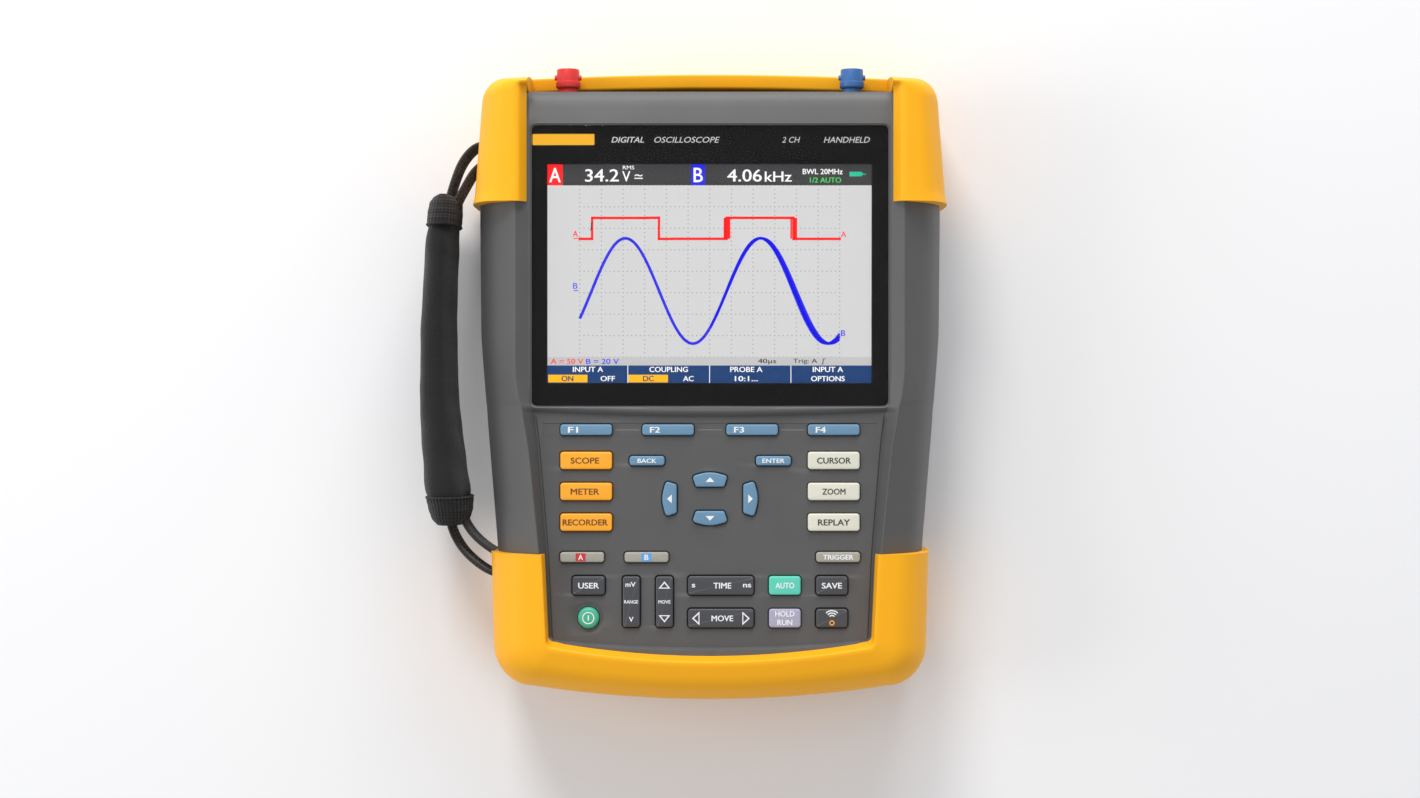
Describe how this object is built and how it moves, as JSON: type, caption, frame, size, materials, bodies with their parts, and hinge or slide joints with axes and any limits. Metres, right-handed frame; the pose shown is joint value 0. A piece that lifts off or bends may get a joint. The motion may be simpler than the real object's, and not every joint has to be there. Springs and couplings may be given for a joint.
{
  "type": "handheld oscilloscope",
  "caption": "Handheld oscilloscope: grey clamshell case with rubber bumpers, display, keypad, coaxial jacks, tilt stand, battery bay and a hand strap.",
  "frame": {"origin": "on the flat back of the case, under the middle of the body's outline", "axes": "+X to the right of the screen, +Y towards the connectors, +Z out of the screen"},
  "size_m": [0.2247, 0.2661, 0.07],
  "materials": {
    "case_grey": "fine moulded grain",
    "bumper_yellow": "matt overmoulded rubber",
    "window_glass": "clear, black printed border",
    "screen": "lit display",
    "foam": "closed-cell foam",
    "silicone": "translucent silicone",
    "board_green": "solder mask",
    "frame_alloy": "cast",
    "shield_tin": "tinned",
    "screw_steel": "plated",
    "pin_steel": "ground",
    "jack_red": "moulded",
    "jack_blue": "moulded",
    "socket_black": "moulded",
    "socket_red": "moulded",
    "port_steel": "plated",
    "port_black": "moulded",
    "door_grey": "moulded grain",
    "battery_dark": "moulded",
    "seal_black": "smooth",
    "webbing_dark": "woven",
    "sleeve_dark": "knit over foam",
    "key_blue": "matt silicone, printed",
    "key_orange": "matt silicone, printed",
    "key_cream": "matt silicone, printed",
    "key_warm_grey": "matt silicone, printed",
    "key_dark": "matt silicone, printed",
    "key_teal": "matt silicone, printed",
    "key_lavender": "matt silicone, printed",
    "key_green": "matt silicone, printed"
  },
  "bodies": {
    "root": {"front_case": "case_grey", "rear_case": "case_grey", "case_seal": "seal_black", "top_bumper": "bumper_yellow", "bottom_bumper": "bumper_yellow", "display_window": "window_glass", "lcd_module": "screen", "display_gasket": "foam", "key_mat": "silicone", "keypad_board": "board_green", "chassis_frame": "frame_alloy", "main_board": "board_green", "input_shields": "shield_tin", "input_a_jack": "jack_red", "input_b_jack": "jack_blue", "meter_jack_common": "socket_black", "meter_jack_volt": "socket_red", "usb_sockets": "port_steel", "dc_inlet": "port_black", "case_screws": "screw_steel", "strap_posts": "pin_steel", "stand_pins": "pin_steel"},
    "battery": {"battery_pack": "battery_dark"},
    "door": {"battery_door": "door_grey"},
    "lock_1": {"door_lock_1": "port_black"},
    "lock_2": {"door_lock_2": "port_black"},
    "stand": {"tilt_stand": "door_grey"},
    "side_cover": {"port_cover": "seal_black"},
    "strap": {"strap_sleeve": "sleeve_dark", "strap_webbing": "webbing_dark"},
    "key_f1": {"key_f1": "key_blue"},
    "key_f2": {"key_f2": "key_blue"},
    "key_f3": {"key_f3": "key_blue"},
    "key_f4": {"key_f4": "key_blue"},
    "key_scope": {"key_scope": "key_orange"},
    "key_meter": {"key_meter": "key_orange"},
    "key_recorder": {"key_recorder": "key_orange"},
    "key_cursor": {"key_cursor": "key_cream"},
    "key_zoom": {"key_zoom": "key_cream"},
    "key_replay": {"key_replay": "key_cream"},
    "key_back": {"key_back": "key_blue"},
    "key_enter": {"key_enter": "key_blue"},
    "key_input_a": {"key_input_a": "key_warm_grey"},
    "key_input_b": {"key_input_b": "key_warm_grey"},
    "key_trigger": {"key_trigger": "key_warm_grey"},
    "key_user": {"key_user": "key_dark"},
    "key_auto": {"key_auto": "key_teal"},
    "key_hold": {"key_hold": "key_lavender"},
    "key_save": {"key_save": "key_dark"},
    "key_wireless": {"key_wireless": "key_dark"},
    "key_up": {"key_up": "key_blue"},
    "key_left": {"key_left": "key_blue"},
    "key_down": {"key_down": "key_blue"},
    "key_right": {"key_right": "key_blue"},
    "key_power": {"key_power": "key_green"},
    "key_range": {"key_range": "key_dark"},
    "key_move_y": {"key_move_y": "key_dark"},
    "key_time": {"key_time": "key_dark"},
    "key_move_x": {"key_move_x": "key_dark"}
  },
  "joints": [
    {"name": "battery_slide", "type": "slide", "parent": "root", "child": "battery", "axis": [0, 0, -1], "range_m": [0, 0.03]},
    {"name": "door_slide", "type": "slide", "parent": "root", "child": "door", "axis": [0, 0, -1], "range_m": [0, 0.048]},
    {"name": "lock_1_turn", "type": "hinge", "parent": "door", "child": "lock_1", "pos_m": [-0.034, 0.04, 0.001], "axis": [0, 0, 1], "range_deg": [0, 90]},
    {"name": "lock_2_turn", "type": "hinge", "parent": "door", "child": "lock_2", "pos_m": [0.034, 0.04, 0.001], "axis": [0, 0, 1], "range_deg": [0, 90]},
    {"name": "stand_fold", "type": "hinge", "parent": "root", "child": "stand", "pos_m": [0, 0.024, 0.0027], "axis": [1, 0, 0], "range_deg": [0, 62]},
    {"name": "side_cover_swing", "type": "hinge", "parent": "root", "child": "side_cover", "pos_m": [0.09563, 0.0243, 0.02615], "axis": [0, 0, -1], "range_deg": [0, 100]},
    {"name": "strap_swing", "type": "hinge", "parent": "root", "child": "strap", "pos_m": [-0.09289, 0.0985, 0.032], "axis": [-0.0357, 0.9994, 0], "range_deg": [-15, 25], "deforming": ["strap_webbing"]},
    {"name": "key_range_rock", "type": "hinge", "parent": "root", "child": "key_range", "pos_m": [-0.0325, -0.0892, 0.0605], "axis": [1, 0, 0], "range_deg": [-4, 4], "stiffness_Nm_per_rad": 0.6},
    {"name": "key_move_y_rock", "type": "hinge", "parent": "root", "child": "key_move_y", "pos_m": [-0.0188, -0.0892, 0.0605], "axis": [1, 0, 0], "range_deg": [-4, 4], "stiffness_Nm_per_rad": 0.6},
    {"name": "key_time_rock", "type": "hinge", "parent": "root", "child": "key_time", "pos_m": [0.0045, -0.0825, 0.0605], "axis": [0, 1, 0], "range_deg": [-4, 4], "stiffness_Nm_per_rad": 0.6},
    {"name": "key_move_x_rock", "type": "hinge", "parent": "root", "child": "key_move_x", "pos_m": [0.0045, -0.096, 0.0605], "axis": [0, 1, 0], "range_deg": [-4, 4], "stiffness_Nm_per_rad": 0.6},
    {"name": "key_f1_press", "type": "slide", "parent": "root", "child": "key_f1", "axis": [0, 0, -1], "range_m": [0, 0.001], "stiffness_N_per_m": 600},
    {"name": "key_f2_press", "type": "slide", "parent": "root", "child": "key_f2", "axis": [0, 0, -1], "range_m": [0, 0.001], "stiffness_N_per_m": 600},
    {"name": "key_f3_press", "type": "slide", "parent": "root", "child": "key_f3", "axis": [0, 0, -1], "range_m": [0, 0.001], "stiffness_N_per_m": 600},
    {"name": "key_f4_press", "type": "slide", "parent": "root", "child": "key_f4", "axis": [0, 0, -1], "range_m": [0, 0.001], "stiffness_N_per_m": 600},
    {"name": "key_scope_press", "type": "slide", "parent": "root", "child": "key_scope", "axis": [0, 0, -1], "range_m": [0, 0.001], "stiffness_N_per_m": 600},
    {"name": "key_meter_press", "type": "slide", "parent": "root", "child": "key_meter", "axis": [0, 0, -1], "range_m": [0, 0.001], "stiffness_N_per_m": 600},
    {"name": "key_recorder_press", "type": "slide", "parent": "root", "child": "key_recorder", "axis": [0, 0, -1], "range_m": [0, 0.001], "stiffness_N_per_m": 600},
    {"name": "key_cursor_press", "type": "slide", "parent": "root", "child": "key_cursor", "axis": [0, 0, -1], "range_m": [0, 0.001], "stiffness_N_per_m": 600},
    {"name": "key_zoom_press", "type": "slide", "parent": "root", "child": "key_zoom", "axis": [0, 0, -1], "range_m": [0, 0.001], "stiffness_N_per_m": 600},
    {"name": "key_replay_press", "type": "slide", "parent": "root", "child": "key_replay", "axis": [0, 0, -1], "range_m": [0, 0.001], "stiffness_N_per_m": 600},
    {"name": "key_back_press", "type": "slide", "parent": "root", "child": "key_back", "axis": [0, 0, -1], "range_m": [0, 0.001], "stiffness_N_per_m": 600},
    {"name": "key_enter_press", "type": "slide", "parent": "root", "child": "key_enter", "axis": [0, 0, -1], "range_m": [0, 0.001], "stiffness_N_per_m": 600},
    {"name": "key_input_a_press", "type": "slide", "parent": "root", "child": "key_input_a", "axis": [0, 0, -1], "range_m": [0, 0.001], "stiffness_N_per_m": 600},
    {"name": "key_input_b_press", "type": "slide", "parent": "root", "child": "key_input_b", "axis": [0, 0, -1], "range_m": [0, 0.001], "stiffness_N_per_m": 600},
    {"name": "key_trigger_press", "type": "slide", "parent": "root", "child": "key_trigger", "axis": [0, 0, -1], "range_m": [0, 0.001], "stiffness_N_per_m": 600},
    {"name": "key_user_press", "type": "slide", "parent": "root", "child": "key_user", "axis": [0, 0, -1], "range_m": [0, 0.001], "stiffness_N_per_m": 600},
    {"name": "key_auto_press", "type": "slide", "parent": "root", "child": "key_auto", "axis": [0, 0, -1], "range_m": [0, 0.001], "stiffness_N_per_m": 600},
    {"name": "key_hold_press", "type": "slide", "parent": "root", "child": "key_hold", "axis": [0, 0, -1], "range_m": [0, 0.001], "stiffness_N_per_m": 600},
    {"name": "key_save_press", "type": "slide", "parent": "root", "child": "key_save", "axis": [0, 0, -1], "range_m": [0, 0.001], "stiffness_N_per_m": 600},
    {"name": "key_wireless_press", "type": "slide", "parent": "root", "child": "key_wireless", "axis": [0, 0, -1], "range_m": [0, 0.001], "stiffness_N_per_m": 600},
    {"name": "key_up_press", "type": "slide", "parent": "root", "child": "key_up", "axis": [0, 0, -1], "range_m": [0, 0.001], "stiffness_N_per_m": 600},
    {"name": "key_left_press", "type": "slide", "parent": "root", "child": "key_left", "axis": [0, 0, -1], "range_m": [0, 0.001], "stiffness_N_per_m": 600},
    {"name": "key_down_press", "type": "slide", "parent": "root", "child": "key_down", "axis": [0, 0, -1], "range_m": [0, 0.001], "stiffness_N_per_m": 600},
    {"name": "key_right_press", "type": "slide", "parent": "root", "child": "key_right", "axis": [0, 0, -1], "range_m": [0, 0.001], "stiffness_N_per_m": 600},
    {"name": "key_power_press", "type": "slide", "parent": "root", "child": "key_power", "axis": [0, 0, -1], "range_m": [0, 0.001], "stiffness_N_per_m": 600}
  ],
  "couplings": [
    {"joint": "door_slide", "follows": "battery_slide", "ratio": 1.6}
  ]
}
